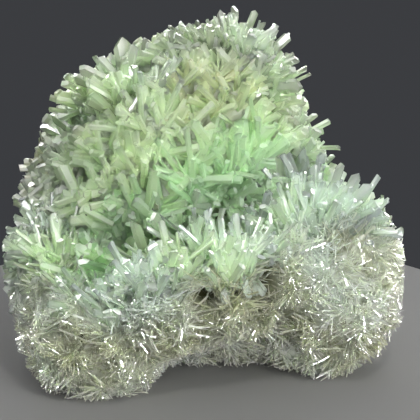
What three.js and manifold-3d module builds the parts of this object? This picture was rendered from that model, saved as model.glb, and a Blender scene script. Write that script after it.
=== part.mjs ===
// A free-standing gypsum crystal cluster: green blades on the crown and along a low front ridge,
// matted pale needles on the skirt and the right lobe, grown together as one solid.
// Millimetres, +Z up, show side towards -Y, origin on the base under the middle of the cluster.
import * as THREE from "three";
import { ConvexGeometry } from "three/addons/geometries/ConvexGeometry.js";
import { mergeVertices } from "three/addons/utils/BufferGeometryUtils.js";
import Module from "manifold-3d";

// ---- Driving dimensions (mm, degrees) ----

const HEART = new THREE.Vector3(0, 0, 16); // the mass is seen whole from this point
const BLEND = 1.2; // how softly one lobe runs into the next
const SHOW_TILT = 19; // the show side faces up by this angle
const GRAIN = 9; // how finely the mass is faceted
const ROUGHNESS = [0.4, 0.95]; // how far a facet corner stands in or out: blades, needles
// The tufts that the whole surface is gathered in, as waves that run three slanted ways.
const LUMPS = {
  spacing: 10,
  height: 0.55,
  ways: [
    [0.85, 0.2, 0.5],
    [-0.35, 0.9, 0.25],
    [-0.3, -0.45, 0.85],
  ],
};

// The lobes of the mass: across, back, up, radius.
const LOBES = [
  [3.8, 6, 46.6, 6.3], // peak
  [-1, 6, 43.4, 7.3],
  [-6, 6, 42, 7.3],
  [5.4, 6, 40.5, 7.4],
  [-12, 4, 40, 8], // left shoulder
  [-8, 4, 27, 14], // face of the crown
  [3, 2, 32, 10.5],
  [-6, 2.5, 38, 9],
  [2.5, 3.5, 41, 8],
  [-19, 8, 31.5, 7.5], // left flank
  [-20.5, 6, 23, 9],
  [-22, -4, 15, 9], // left lobe
  [-20.5, -9, 10, 9],
  [-17.5, -13.5, 7, 9.8], // left foot
  [-9, -15.5, 14, 8], // front ridge
  [2, -13, 15, 7.5],
  [11, -10, 17, 7.5],
  [20, -6.5, 12, 9.8], // right lobe
  [19.5, -3, 22, 7.2],
  [23, -4, 16, 7.5],
  [18, -4.5, 5.5, 8], // right foot
  [7.6, 7, 33, 7.5], // right slope of the crown
  [9.4, 6, 26, 8.4],
  [13.4, 3, 19, 9],
  [0, 3, 11, 14], // belly
  [-10, 4, 11, 14],
  [11, 4, 11, 14],
  [-9, 11, 20, 11], // back
  [6, 12, 20, 10.5],
  [-3, 11, 34, 9],
];

// The arch under the front: centre and half-axes of the hollow.
const ARCH = { centre: [1, -20, -3], half: [10, 16.5, 9.5] };

// Where needles take over from blades, on the show side: up at the left, and the rise to the right.
const NEEDLE_LINE = { up: 12, rise: 0.85, from: 7, most: 23 };
const NEEDLE_LINE_BACK = 31; // the same line's height on the back
const BACK = 6; // how far back the back's line takes over
const LINE_SOFTNESS = { front: 2, back: 4 };

// Large single crystals of the show side: the tip's place across and up the show plane, the lean
// from upright, the lean towards the viewer, the length outside the mass, the width.
const SINGLES = [
  [4.4, 56.3, 6, 10, 3.6, 1.5], // peak
  [7.6, 55.0, 22, 5, 3.6, 1.2],
  [8.9, 53.0, 34, 20, 3.4, 1.1],
  [10.8, 52.0, 40, 10, 3.8, 1.2],
  [12.9, 50.8, 48, 0, 4.2, 1.6],
  [14.3, 47.1, 66, 5, 4.2, 1.6],
  [13.8, 45.3, 74, 15, 4.0, 1.6],
  [14.7, 42.6, 92, 25, 5.4, 2.2],
  [15.6, 40.5, 60, 0, 3.4, 1.2],
  [17.4, 38.5, 52, 0, 3.4, 1.2],
  [19.0, 35.2, 50, 5, 3.2, 1.2],
  [20.4, 32.0, 46, 10, 3.2, 1.2],
  [1.9, 54.8, -6, 10, 3.2, 1.2],
  [-2.0, 53.3, -14, 10, 3.4, 1.3],
  [-5.9, 51.7, -10, 10, 3.4, 1.4],
  [-9.6, 50.4, 8, 10, 3.8, 1.8], // left shoulder
  [-13.9, 50.4, -10, 5, 4.6, 3.0],
  [-17.2, 47.3, -42, 5, 4.0, 1.5],
  [-20.3, 45.4, -64, 15, 5.4, 2.2],
  [-21.4, 44.0, -70, 30, 4.8, 2.1],
  [-21.6, 41.0, -62, 10, 4.0, 1.8],
  [-25.2, 38.2, -52, 5, 4.0, 1.7], // left flank
  [-26.9, 36.6, -64, 0, 3.8, 1.7],
  [-27.2, 33.4, -68, 15, 3.8, 1.7],
  [-28.4, 30.4, -72, 5, 3.6, 1.6],
  [-29.2, 27.2, -72, 10, 3.8, 1.7],
  [-30.4, 24.9, -76, 0, 4.0, 1.6],
  [-31.0, 20.8, -84, 5, 3.8, 1.7],
  [-32.3, 15.8, -92, 5, 4.4, 1.9],
  [9.4, 29.4, -42, 25, 6.0, 1.6], // right lobe's fan
  [12.2, 32.4, -22, 25, 6.4, 1.7],
  [14.8, 33.0, -10, 20, 6.4, 1.8],
  [18.0, 32.2, 6, 20, 6.2, 1.7],
  [21.0, 30.4, 18, 15, 5.8, 1.7],
  [23.6, 28.8, 28, 15, 5.4, 1.7],
  [25.4, 27.2, 38, 10, 5.0, 1.6],
  [27.2, 23.4, 48, 10, 4.2, 1.4],
  [31.0, 20.0, 58, 5, 3.6, 1.4],
  [-1.6, 25.0, -10, 25, 7.4, 1.5], // front ridge, fanned from its middle
  [2.0, 25.6, 0, 20, 7.8, 1.6],
  [5.6, 26.2, 8, 25, 7.4, 1.6],
  [9.6, 26.2, 14, 20, 7.2, 1.6],
  [-5.0, 23.6, -20, 30, 7.4, 1.8],
  [-8.6, 22.4, -26, 35, 7.2, 1.9],
  [-11.6, 21.6, -18, 30, 7.0, 2.0],
  [-14.4, 20.4, -12, 40, 6.4, 2.6],
  [-20.0, 15.0, -74, 45, 6.0, 1.8], // left lobe's low blades
  [-19.6, 18.0, -50, 50, 6.2, 2.0],
];

// Sprays spread evenly over the blades' ground, each of crystals that leave one buried focus.
// All the ground whose share of needles is under half is the blades' own.
const SPRAY = {
  spacing: 5.5,
  clearance: 3, // from a large single crystal's foot
  lowest: 4, // no spray's foot is lower
  crystals: 2,
  depth: 2.2, // how far under the surface the focus lies
  lean: [12, 62], // a crystal's lean from the surface's normal
  length: [2.4, 3.9], // outside the mass
  width: [1.4, 2.5],
};
const BURIED = 2; // how much of a large single crystal is sunk in the mass
const SINGLE_ROLL = 45; // how far a large single crystal may turn its flat side from the viewer

// Sections and tips: how thick a crystal is for its width, where a six-sided section's flat
// starts, how far off the middle the tip's ridge may lie and how steep the tip's faces are.
const FLATNESS = [0.35, 0.6];
const FLAT_SHARE = 0.55;
const OFF_MIDDLE = 0.5;
const STEEPNESS = [0.4, 1.3];

// ---- Small mathematics ----

const radians = THREE.MathUtils.degToRad;
const between = ([low, high], share) => low + (high - low) * share;

// A repeatable number from 0 to 1 for item i and purpose k.
function chance(i, k) {
  const x = Math.sin(i * 127.1 + k * 311.7) * 43758.5453;
  return x - Math.floor(x);
}

function smoothstep(low, high, x) {
  const t = Math.min(1, Math.max(0, (x - low) / (high - low)));
  return t * t * (3 - 2 * t);
}

// ---- The mass ----

const lobes = LOBES.map(([x, y, z, radius]) => ({
  centre: new THREE.Vector3(x, y, z),
  radius,
}));

// How far the tufts lift the surface near a point.
function lift(point) {
  const turns = (2 * Math.PI) / LUMPS.spacing;
  const [a, b, c] = LUMPS.ways.map(([x, y, z]) => turns * (x * point.x + y * point.y + z * point.z));
  const waves =
    Math.sin(a) * Math.cos(b) + Math.sin(b) * Math.cos(c) + Math.sin(c) * Math.cos(a);
  return LUMPS.height * waves;
}

// Distance from a point to the blended lobes with their tufts, negative inside.
function depthField(point) {
  const gaps = lobes.map((lobe) => point.distanceTo(lobe.centre) - lobe.radius);
  const nearest = Math.min(...gaps);
  const crowd = gaps.reduce((sum, gap) => sum + Math.exp((nearest - gap) / BLEND), 0);
  return nearest - BLEND * Math.log(crowd) - lift(point);
}

function outward(point) {
  const step = 0.05;
  const slope = new THREE.Vector3();
  for (const axis of ["x", "y", "z"]) {
    const ahead = point.clone();
    const behind = point.clone();
    ahead[axis] += step;
    behind[axis] -= step;
    slope[axis] = depthField(ahead) - depthField(behind);
  }
  return slope.normalize();
}

// The first point of the mass met on the way from start along direction, or null.
function firstHit(start, direction, reach) {
  const near = 0.005;
  const caution = 0.6; // the tufts bend the field, so a step is shorter than its distance
  let travelled = 0;
  while (travelled < reach) {
    const point = start.clone().addScaledVector(direction, travelled);
    const gap = depthField(point);
    if (gap < near) return point;
    travelled += Math.max(caution * gap, near);
  }
  return null;
}

// How far along direction, from the heart, the arch's hollow begins.
function archEntry(direction) {
  const half = new THREE.Vector3(...ARCH.half);
  const from = HEART.clone().sub(new THREE.Vector3(...ARCH.centre)).divide(half);
  const along = direction.clone().divide(half);
  const a = along.lengthSq();
  const b = from.dot(along);
  const root = b * b - a * (from.lengthSq() - 1);
  const entry = root > 0 ? (-b - Math.sqrt(root)) / a : Infinity;
  return entry > 0 ? entry : Infinity;
}

// The point of the surface in one direction from the heart.
function surfacePoint(direction) {
  const far = 60;
  const outside = HEART.clone().addScaledVector(direction, far);
  const hit = firstHit(outside, direction.clone().negate(), far);
  const reach = Math.min(hit.distanceTo(HEART), archEntry(direction));
  const floor = direction.z < 0 ? HEART.z / -direction.z : Infinity;
  return HEART.clone().addScaledVector(direction, Math.min(reach, floor));
}

// The faceted mass: an even ball of directions, each corner set on the surface and roughened.
function massGeometry() {
  const ball = new THREE.IcosahedronGeometry(1, GRAIN);
  ball.deleteAttribute("normal");
  ball.deleteAttribute("uv");
  const geometry = mergeVertices(ball, 1e-4);
  const corners = geometry.attributes.position;
  const direction = new THREE.Vector3();
  const baseHeight = 0.01;
  for (let i = 0; i < corners.count; i++) {
    direction.fromBufferAttribute(corners, i).normalize();
    const point = surfacePoint(direction);
    const onBase = point.z < baseHeight;
    const roughness = between(ROUGHNESS, needleShare(point));
    const shift = onBase ? 0 : roughness * (2 * chance(i, 1) - 1);
    point.addScaledVector(direction, shift);
    corners.setXYZ(i, point.x, point.y, onBase ? 0 : Math.max(point.z, 0));
  }
  return geometry;
}

// ---- The show plane ----

const tilt = radians(SHOW_TILT);
const viewer = new THREE.Vector3(0, -Math.cos(tilt), Math.sin(tilt));
const showUp = new THREE.Vector3(0, Math.sin(tilt), Math.cos(tilt));
const showAcross = new THREE.Vector3(1, 0, 0);

// The point of the mass seen at a place on the show plane, or where the plane's edge is passed,
// the one seen at the nearest place towards the heart.
function showPoint(across, up) {
  const far = 80;
  const towardsHeart = 0.02;
  let place = null;
  for (let pull = 0; place === null; pull += towardsHeart) {
    const start = viewer
      .clone()
      .multiplyScalar(far)
      .addScaledVector(showAcross, across * (1 - pull) + HEART.dot(showAcross) * pull)
      .addScaledVector(showUp, up * (1 - pull) + HEART.dot(showUp) * pull);
    place = firstHit(start, viewer.clone().negate(), 2 * far);
  }
  return place;
}

// How much a place belongs to the needles, 0 to 1.
function needleShare(point) {
  const across = point.dot(showAcross);
  const up = point.dot(showUp);
  const line = Math.min(
    NEEDLE_LINE.most,
    NEEDLE_LINE.up + NEEDLE_LINE.rise * Math.max(0, across - NEEDLE_LINE.from),
  );
  const { front, back } = LINE_SOFTNESS;
  if (point.y > BACK) {
    return smoothstep(NEEDLE_LINE_BACK + back, NEEDLE_LINE_BACK - back, point.z);
  }
  return smoothstep(line + front, line - front, up);
}

// ---- The crystals ----

const SIX_SIDED = [
  [-1, 0],
  [-FLAT_SHARE, 1],
  [FLAT_SHARE, 1],
  [1, 0],
  [FLAT_SHARE, -1],
  [-FLAT_SHARE, -1],
];
const FOUR_SIDED = [
  [-1, 1],
  [1, 1],
  [1, -1],
  [-1, -1],
];

// A flat prism with a chisel tip, from root along growth: roll turns it about its length, and
// its other proportions come by chance from its number.
function crystalGeometry({ root, growth, roll, length, width, section, number }) {
  const half = width / 2;
  const thick = half * between(FLATNESS, chance(number, 1));
  const ridge = OFF_MIDDLE * half * (2 * chance(number, 2) - 1);
  const steepness = between(STEEPNESS, chance(number, 3));
  const points = [];
  for (const [across, flat] of section) {
    const x = across * half;
    const y = flat * thick;
    points.push(new THREE.Vector3(x, y, 0));
    points.push(new THREE.Vector3(x, y, length - steepness * Math.abs(x - ridge)));
  }
  if (section === SIX_SIDED) {
    points.push(new THREE.Vector3(ridge, thick, length));
    points.push(new THREE.Vector3(ridge, -thick, length));
  }
  const upright = new THREE.Vector3(0, 0, 1);
  const turn = new THREE.Quaternion()
    .setFromUnitVectors(upright, growth)
    .multiply(new THREE.Quaternion().setFromAxisAngle(upright, roll));
  return new ConvexGeometry(points).applyQuaternion(turn).translate(root.x, root.y, root.z);
}

function growthOfSingle([, , lean, forward]) {
  return new THREE.Vector3()
    .addScaledVector(showUp, Math.cos(radians(lean)))
    .addScaledVector(showAcross, Math.sin(radians(lean)))
    .multiplyScalar(Math.cos(radians(forward)))
    .addScaledVector(viewer, Math.sin(radians(forward)));
}

function footOfSingle(single) {
  const [across, up, , , length] = single;
  const growth = growthOfSingle(single);
  return showPoint(across - length * growth.dot(showAcross), up - length * growth.dot(showUp));
}

function singleCrystal(single, number) {
  const [, , , , length, width] = single;
  const growth = growthOfSingle(single);
  return crystalGeometry({
    root: footOfSingle(single).addScaledVector(growth, -BURIED),
    growth,
    roll: radians(SINGLE_ROLL) * (2 * chance(number, 4) - 1),
    length: length + BURIED,
    width,
    section: SIX_SIDED,
    number,
  });
}

// An even direction over the sphere for item i of count.
function evenDirection(i, count) {
  const up = 1 - (2 * (i + 0.5)) / count;
  const turn = Math.PI * (1 + Math.sqrt(5)) * i;
  const flat = Math.sqrt(1 - up * up);
  return new THREE.Vector3(Math.cos(turn) * flat, Math.sin(turn) * flat, up);
}

// Places on the blades' ground that keep the sprays' spacing from each other, and their
// clearance from the feet of the large single crystals.
function sprayPlaces() {
  const tries = 2500;
  const feet = SINGLES.map(footOfSingle);
  const places = [];
  for (let i = 0; i < tries; i++) {
    const point = surfacePoint(evenDirection(i, tries));
    if (point.z < SPRAY.lowest || needleShare(point) > 0.5) continue;
    if (feet.some((foot) => foot.distanceTo(point) < SPRAY.clearance)) continue;
    if (places.every((place) => place.distanceTo(point) > SPRAY.spacing)) places.push(point);
  }
  return places;
}

// One spray: its crystals fan out from a focus under its place.
function sprayCrystals(place, index) {
  const normal = outward(place);
  const side = new THREE.Vector3(0, 0, 1).cross(normal).normalize();
  const focus = place.clone().addScaledVector(normal, -SPRAY.depth);
  return Array.from({ length: SPRAY.crystals }, (_, j) => {
    const number = SINGLES.length + index * SPRAY.crystals + j;
    const around = 2 * Math.PI * (j / SPRAY.crystals + chance(number, 5));
    const lean = radians(between(SPRAY.lean, chance(number, 6)));
    const growth = side
      .clone()
      .applyAxisAngle(normal, around)
      .multiplyScalar(Math.sin(lean))
      .addScaledVector(normal, Math.cos(lean));
    return crystalGeometry({
      root: focus,
      growth,
      roll: 2 * Math.PI * chance(number, 7),
      length: SPRAY.depth / Math.cos(lean) + between(SPRAY.length, chance(number, 8)),
      width: between(SPRAY.width, chance(number, 9)),
      section: FOUR_SIDED,
      number,
    });
  });
}

// ---- Joining ----

const wasm = await Module();
wasm.setup();

function solidOf(geometry) {
  const bare = geometry.clone();
  bare.deleteAttribute("normal");
  bare.deleteAttribute("uv");
  const merged = mergeVertices(bare, 1e-4);
  return new wasm.Manifold(
    new wasm.Mesh({
      numProp: 3,
      vertProperties: merged.attributes.position.array,
      triVerts: new Uint32Array(merged.index.array),
    }),
  );
}

function geometryOf(solid) {
  const mesh = solid.getMesh();
  const geometry = new THREE.BufferGeometry();
  geometry.setAttribute("position", new THREE.BufferAttribute(mesh.vertProperties, 3));
  geometry.setIndex(new THREE.BufferAttribute(mesh.triVerts, 1));
  return geometry;
}

// Everything under the base plane is cut away, so that the cluster stands on a flat cut.
function standOnBase(solid) {
  const size = 200;
  const below = new THREE.BoxGeometry(size, size, size).translate(0, 0, -size / 2);
  return solid.subtract(solidOf(below));
}

function clusterGeometry() {
  const crystals = [...SINGLES.map(singleCrystal), ...sprayPlaces().flatMap(sprayCrystals)];
  const joined = crystals.reduce((solid, c) => solid.add(solidOf(c)), solidOf(massGeometry()));
  const geometry = geometryOf(standOnBase(joined));
  geometry.computeBoundingBox();
  const middle = geometry.boundingBox.getCenter(new THREE.Vector3());
  return geometry.translate(-middle.x, -middle.y, -geometry.boundingBox.min.z);
}

// ---- The scene graph ----

const gypsum = new THREE.MeshStandardMaterial({
  name: "green_gypsum",
  color: new THREE.Color(0.62, 0.74, 0.55),
  roughness: 0.3,
  metalness: 0,
  flatShading: true,
});

const cluster = new THREE.Mesh(clusterGeometry(), gypsum);
cluster.name = "gypsum_cluster";

const root = new THREE.Group();
root.add(cluster);

export default root;
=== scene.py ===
"""The looks of the gypsum crystal cluster: the mass in the crevices, milky and clear blades on the
crown, the front ridge and the right lobe's fan, and mats of fine needles below them, all set on the
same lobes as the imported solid. Lengths are millimetres until a mesh is made."""

import math

import bpy
import numpy as np
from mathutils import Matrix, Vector


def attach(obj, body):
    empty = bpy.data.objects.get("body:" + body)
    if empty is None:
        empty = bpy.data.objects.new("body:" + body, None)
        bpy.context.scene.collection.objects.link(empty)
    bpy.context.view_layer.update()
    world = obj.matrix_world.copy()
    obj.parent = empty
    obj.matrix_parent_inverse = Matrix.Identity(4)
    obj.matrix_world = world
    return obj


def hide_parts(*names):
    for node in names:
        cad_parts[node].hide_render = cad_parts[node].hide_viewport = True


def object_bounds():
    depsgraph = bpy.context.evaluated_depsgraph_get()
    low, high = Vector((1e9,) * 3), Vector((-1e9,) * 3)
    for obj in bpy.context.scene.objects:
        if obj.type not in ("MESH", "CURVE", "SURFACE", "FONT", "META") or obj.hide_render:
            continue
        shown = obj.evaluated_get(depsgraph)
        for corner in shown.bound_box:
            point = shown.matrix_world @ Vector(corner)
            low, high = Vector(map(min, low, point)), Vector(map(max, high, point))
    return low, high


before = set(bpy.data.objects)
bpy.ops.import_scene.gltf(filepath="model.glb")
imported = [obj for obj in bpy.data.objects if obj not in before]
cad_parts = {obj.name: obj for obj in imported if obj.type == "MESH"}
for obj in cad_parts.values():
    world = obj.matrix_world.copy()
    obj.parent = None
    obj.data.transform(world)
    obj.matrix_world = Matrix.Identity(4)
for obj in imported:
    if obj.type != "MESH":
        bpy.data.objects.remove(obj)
cad_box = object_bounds()

NODE = "gypsum_cluster"
MAP = "OFBake"
MM = 0.001
rng = np.random.default_rng(7)

# ---- The form, as in the solid: across, back, up, radius of each lobe ----

MIDDLE = np.array([-0.830, -0.974, 0.0])  # the middle of the solid's box among its lobes
HEART = np.array([0.0, 0.0, 16.0])
BLEND = 1.2
LOBES = np.array(
    [
        [3.8, 6, 46.6, 6.3],  # peak
        [-1, 6, 43.4, 7.3],
        [-6, 6, 42, 7.3],
        [5.4, 6, 40.5, 7.4],
        [-12, 4, 40, 8],  # left shoulder
        [-8, 4, 27, 14],  # face of the crown
        [3, 2, 32, 10.5],
        [-6, 2.5, 38, 9],
        [2.5, 3.5, 41, 8],
        [-19, 8, 31.5, 7.5],  # left flank
        [-20.5, 6, 23, 9],
        [-22, -4, 15, 9],  # left lobe
        [-20.5, -9, 10, 9],
        [-17.5, -13.5, 7, 9.8],  # left foot
        [-9, -15.5, 14, 8],  # front ridge
        [2, -13, 15, 7.5],
        [11, -10, 17, 7.5],
        [20, -6.5, 12, 9.8],  # right lobe
        [19.5, -3, 22, 7.2],
        [23, -4, 16, 7.5],
        [18, -4.5, 5.5, 8],  # right foot
        [7.6, 7, 33, 7.5],  # right slope of the crown
        [9.4, 6, 26, 8.4],
        [13.4, 3, 19, 9],
        [0, 3, 11, 14],  # belly
        [-10, 4, 11, 14],
        [11, 4, 11, 14],
        [-9, 11, 20, 11],  # back
        [6, 12, 20, 10.5],
        [-3, 11, 34, 9],
    ]
)
ARCH_CENTRE = np.array([1.0, -20.0, -3.0])
ARCH_HALF = np.array([10.0, 16.5, 9.5])
LUMP_SPACING, LUMP_HEIGHT = 10.0, 0.55
LUMP_WAYS = np.array([[0.85, 0.2, 0.5], [-0.35, 0.9, 0.25], [-0.3, -0.45, 0.85]])

# Where needles take over from blades: a line on the show plane, and a height at the back.
NEEDLE_LINE = {"up": 12.0, "rise": 0.85, "from": 7.0, "most": 23.0}
NEEDLE_LINE_BACK = 31.0
BACK = 6.0
SOFT_FRONT, SOFT_BACK = 2.0, 4.0

# ---- The photograph's view ----

TILT = math.radians(19)
SCALE = 0.16  # mm to a pixel of the 420 pixel frame
ACROSS_0, UP_0 = 203, 356  # the pixel where the base's middle lies
FRAME = 420
viewer = np.array([0.0, -math.cos(TILT), math.sin(TILT)])
show_up = np.array([0.0, math.sin(TILT), math.cos(TILT)])
show_across = np.array([1.0, 0.0, 0.0])


def unit(v):
    return v / np.maximum(np.linalg.norm(v, axis=-1, keepdims=True), 1e-12)


def smoothstep(low, high, x):
    t = np.clip((x - low) / (high - low), 0, 1)
    return t * t * (3 - 2 * t)


def between(low, high, share):
    return low + (high - low) * share


def chance(i, k):
    """The solid's own repeatable number for item i and purpose k."""
    x = np.sin(np.asarray(i) * 127.1 + k * 311.7) * 43758.5453
    return x - np.floor(x)


def depth(points):
    """Distance outside the tufted lobes, negative inside."""
    gaps = np.linalg.norm(points[:, None] - LOBES[None, :, :3], axis=2) - LOBES[:, 3]
    nearest = gaps.min(1)
    crowd = np.exp((nearest[:, None] - gaps) / BLEND).sum(1)
    a, b, c = (points @ (LUMP_WAYS.T * 2 * math.pi / LUMP_SPACING)).T
    waves = np.sin(a) * np.cos(b) + np.sin(b) * np.cos(c) + np.sin(c) * np.cos(a)
    return nearest - BLEND * np.log(crowd) - LUMP_HEIGHT * waves


def clearance(points):
    """depth, with the arch under the front and the floor taken away."""
    ball = np.linalg.norm((points - ARCH_CENTRE) / ARCH_HALF, axis=1)
    arch = (1 - ball) * ARCH_HALF.min()
    return np.maximum(depth(points), arch)


def outward(points):
    step = 0.05
    slope = [
        clearance(points + step * axis) - clearance(points - step * axis) for axis in np.eye(3)
    ]
    return unit(np.stack(slope, 1))


# A march towards the surface goes this share of the clearance at a time, because the lumps make
# the clearance inexact, and ends this close to the surface.
MARCHES = 160
MARCH_SHARE = 0.6
MARCH_LEAST = 0.004
MARCH_END = 0.005


def march(start, way, reach):
    """How far along way from start the mass is met, or more than reach."""
    travelled = np.zeros(len(start))
    going = np.arange(len(start))
    for _ in range(MARCHES):
        gap = clearance(start[going] + way[going] * travelled[going, None])
        travelled[going] += np.maximum(MARCH_SHARE * gap, MARCH_LEAST)
        going = going[(gap > MARCH_END) & (travelled[going] < reach)]
        if not len(going):
            break
    return travelled


FAR = 60.0  # further from the heart than any crystal
VIEWER_FAR = 80.0


def skin(ways):
    """The surface point in each direction from the heart, no lower than the base."""
    start = HEART + FAR * ways
    reach = FAR - march(start, -ways, FAR)
    down = np.minimum(ways[:, 2], -1e-9)
    floor = np.where(ways[:, 2] < 0, -HEART[2] / down, np.inf)
    return HEART + ways * np.minimum(reach, floor)[:, None]


PULLS = np.arange(0, 0.6, 0.02)


def show_point(across, up):
    """The surface point seen at a place on the show plane, which is pulled towards the heart by
    growing shares where it lies beside the mass."""
    across, up = np.atleast_1d(across).astype(float), np.atleast_1d(up).astype(float)
    place = np.zeros((len(across), 3))
    todo = np.ones(len(across), bool)
    for pull in PULLS:
        a = across * (1 - pull) + HEART @ show_across * pull
        u = up * (1 - pull) + HEART @ show_up * pull
        start = viewer * VIEWER_FAR + a[:, None] * show_across + u[:, None] * show_up
        reach = march(start, np.broadcast_to(-viewer, start.shape), 2 * VIEWER_FAR)
        hit = todo & (reach < 2 * VIEWER_FAR)
        place[hit] = (start - viewer * reach[:, None])[hit]
        todo &= ~hit
        if not todo.any():
            break
    return place


def at_pixel(x, y):
    """The surface point seen at a pixel of the photograph."""
    across = (np.asarray(x, float) - ACROSS_0) * SCALE + MIDDLE[0]
    up = (UP_0 - np.asarray(y, float)) * SCALE + MIDDLE @ show_up
    return show_point(across, up)


def needle_share(points):
    """How far needles have taken over from blades at each point, 0 to 1."""
    across, up = points @ show_across, points @ show_up
    line = NEEDLE_LINE["up"] + NEEDLE_LINE["rise"] * np.maximum(0, across - NEEDLE_LINE["from"])
    line = np.minimum(NEEDLE_LINE["most"], line)
    front = smoothstep(-SOFT_FRONT, SOFT_FRONT, line - up)
    back = smoothstep(-SOFT_BACK, SOFT_BACK, NEEDLE_LINE_BACK - points[:, 2])
    return np.where(points[:, 1] > BACK, back, front)


# ---- Zones of colour, mostly painted shade and painted light: spots round places of the photograph, as pixel x, pixel y, radius in mm, strength ----

ZONES = {
    # The valley: painted shade, a darker deep green where shade falls behind the front ridge.
    "valley_shade": [
        (112, 262, 4.5, 1.0), (128, 238, 4.0, 1.0), (150, 228, 3.5, 0.8), (168, 215, 4.0, 0.8),
        (192, 196, 4.5, 1.0), (215, 188, 4.5, 1.0), (240, 182, 4.5, 1.0), (258, 168, 4.0, 0.9),
        (225, 205, 4.0, 0.8), (75, 140, 3.0, 0.4), (318, 150, 4.0, 0.7),
    ],
    # Ochre: painted shade, a darker ochre-green in the crevices between the crown's blades.
    "ochre_shade": [
        (192, 92, 2.4, 1.0), (214, 94, 2.4, 1.0), (190, 120, 2.0, 0.8), (206, 122, 2.0, 0.9),
        (232, 100, 2.6, 0.8), (226, 120, 2.2, 0.5), (150, 200, 1.6, 0.6), (46, 160, 2.0, 0.9),
        (230, 85, 3.0, 0.5),
    ],
    # Grey: painted shade, a darker grey on the left flank and over the crown's top.
    "grey_shade": [
        (40, 170, 6.0, 1.0), (50, 125, 5.0, 0.9), (35, 215, 6.0, 0.8), (66, 170, 5.0, 0.6),
        (190, 40, 5.0, 0.8), (215, 25, 5.0, 0.9), (250, 45, 5.0, 0.7), (230, 60, 5.0, 0.7),
        (125, 60, 5.0, 0.8), (100, 85, 5.0, 0.6), (155, 66, 4.5, 0.7), (212, 62, 4.5, 0.6),
        (262, 66, 5.0, 0.6), (20, 260, 5.0, 0.6),
    ],
    # Cool: a mint-white tint, partly the ridge's own colour and partly painted light, lighter where
    # light falls on the right lobe's fan and where the left fan glints.
    "cool_and_lit": [
        (225, 255, 6.0, 1.0), (255, 245, 6.0, 1.0), (195, 262, 5.0, 0.7), (290, 210, 6.0, 0.9),
        (310, 190, 6.0, 0.9), (335, 185, 5.0, 0.7), (300, 170, 5.0, 0.6), (150, 285, 5.0, 1.0),
        (120, 305, 5.0, 0.9), (98, 298, 4.0, 0.7), (312, 224, 5.0, 1.0), (335, 222, 5.0, 1.0),
        (358, 226, 4.5, 1.0), (250, 60, 4.0, 0.6), (150, 95, 3.5, 0.6), (320, 250, 5.5, 0.7),
        (296, 266, 4.5, 0.6), (342, 292, 5.5, 0.3), (52, 238, 5.0, 0.8), (28, 262, 4.0, 0.6),
        (165, 300, 4.5, 0.6),
    ],
    # Olive: painted shade, a darker olive in the needle mats' recesses, which also draws in the
    # near-black under colour.
    "olive_shade": [
        (345, 240, 3.0, 0.9), (368, 256, 3.5, 0.6), (388, 244, 3.5, 0.5), (372, 342, 4.0, 0.9),
        (330, 345, 4.0, 0.6), (300, 330, 4.0, 0.6), (208, 290, 4.0, 0.9), (268, 284, 4.5, 1.0),
        (238, 292, 4.0, 1.0), (255, 314, 4.0, 1.0), (216, 314, 3.5, 0.7), (75, 350, 5.0, 0.7),
        (110, 350, 5.0, 0.6), (190, 335, 5.0, 0.7), (160, 345, 5.0, 0.6), (240, 330, 5.0, 0.6),
        (390, 290, 4.0, 0.4),
    ],
}

# Hollows between the crystals: pixel x, pixel y, radius, how deep, in mm.
HOLLOWS = [
    (189, 90, 1.3, 3.2), (216, 96, 1.3, 3.4), (188, 121, 1.3, 3.2), (206, 123, 1.3, 3.4),
    (232, 88, 0.9, 2.2), (146, 73, 1.4, 3.0), (206, 292, 2.2, 3.8), (266, 284, 2.3, 3.8),
    (252, 318, 2.0, 3.4), (236, 290, 1.5, 3.0), (282, 304, 1.3, 2.6), (120, 253, 1.8, 3.8),
    (103, 262, 1.4, 3.4), (203, 203, 1.5, 3.6), (224, 200, 1.4, 3.2), (136, 246, 1.4, 3.2),
    (150, 232, 1.3, 2.8), (345, 232, 1.3, 2.4), (342, 250, 1.3, 2.4), (178, 318, 1.5, 2.6),
    (72, 342, 1.5, 2.6), (292, 350, 1.4, 2.2), (372, 336, 1.3, 2.0), (130, 340, 1.4, 2.2),
    (240, 338, 1.5, 2.6), (105, 362, 1.3, 2.0),
]

spots = {
    name: np.hstack([at_pixel(*np.array(rows)[:, :2].T), np.array(rows)[:, 2:]])
    for name, rows in ZONES.items()
}
# Crystals stay clear of this share of a hollow's radius, and of the well above it at these heights.
CLEAR_SHARE = 0.55
WELL = (0.0, 1.2, 2.4)
hollows = np.hstack([at_pixel(*np.array(HOLLOWS)[:, :2].T), np.array(HOLLOWS)[:, 2:]])


def nearness(points, places):
    """How much of the strongest of these places each point has."""
    share = np.zeros(len(points))
    for x, y, z, radius, strength in places:
        away = ((points - (x, y, z)) ** 2).sum(1) / radius**2
        share = np.maximum(share, strength * np.exp(-away))
    return share


def hollow(points):
    """How far the surface sinks at each point, in mm."""
    return nearness(points, hollows)


# ---- Places on the surface ----


MAP_MARGIN = 0.02


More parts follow.
